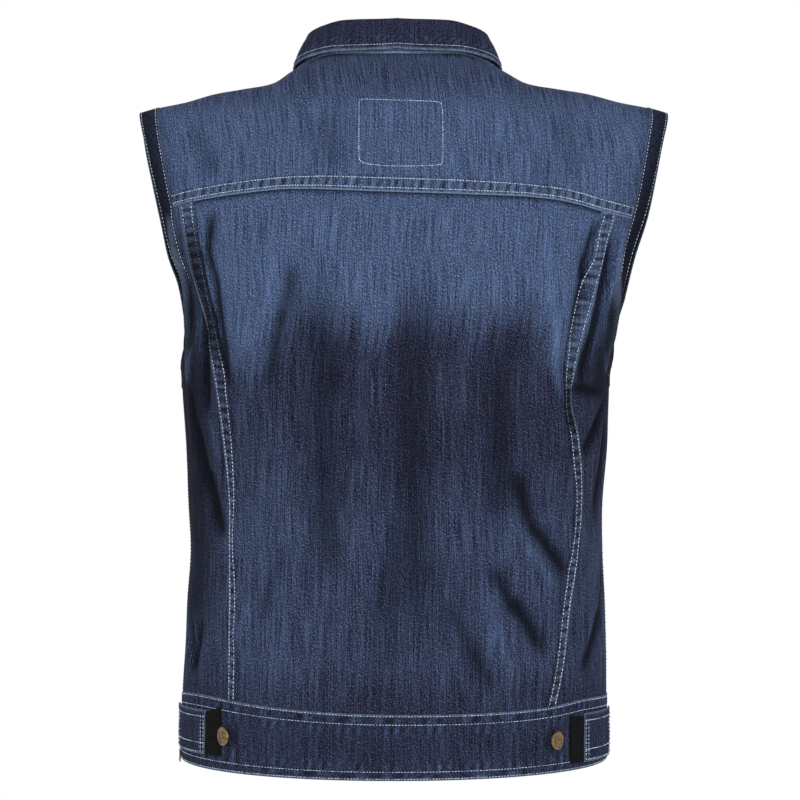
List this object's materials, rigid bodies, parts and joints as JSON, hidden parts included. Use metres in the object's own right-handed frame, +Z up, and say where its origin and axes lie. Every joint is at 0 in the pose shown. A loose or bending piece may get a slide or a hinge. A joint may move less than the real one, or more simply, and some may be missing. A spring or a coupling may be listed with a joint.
{
  "type": "denim vest",
  "caption": "Sleeveless denim vest, filled out as worn, with a yoke, long curved back seams, banded armholes, a turned-down collar and side adjusters.",
  "frame": {"origin": "between the wearer's shoulders, level with the tops of the armholes, where the vest is held up", "axes": "+Z up, the front of the vest faces -Y, the wearer's left is +X"},
  "size_m": [0.4904, 0.2757, 0.6846],
  "materials": {
    "denim_faded": "faded mid-blue denim twill",
    "denim_panel": "indigo denim twill, paler towards the yoke",
    "denim_dark": "dark indigo denim twill",
    "black_strap": "black woven strap",
    "leather": "plain brown leather",
    "brass": "antique brass"
  },
  "bodies": {
    "root": {"yoke": "denim_faded", "back_panel": "denim_panel", "side_back_left": "denim_dark", "side_back_right": "denim_dark", "front_left": "denim_panel", "front_right": "denim_panel", "placket_left": "denim_panel", "placket_right": "denim_panel", "waistband_back": "denim_dark", "waistband_left": "denim_dark", "waistband_right": "denim_dark", "armhole_band_left": "denim_dark", "armhole_band_right": "denim_dark", "collar": "denim_dark", "adjuster_strap_left": "black_strap", "adjuster_strap_right": "black_strap", "adjuster_tab_left": "denim_dark", "adjuster_tab_right": "denim_dark", "hem_tag": "leather", "adjuster_button_left": "brass", "adjuster_button_right": "brass", "front_button_1": "brass", "front_button_2": "brass", "front_button_3": "brass", "front_button_4": "brass", "front_button_5": "brass", "waist_button": "brass"}
  },
  "joints": []
}
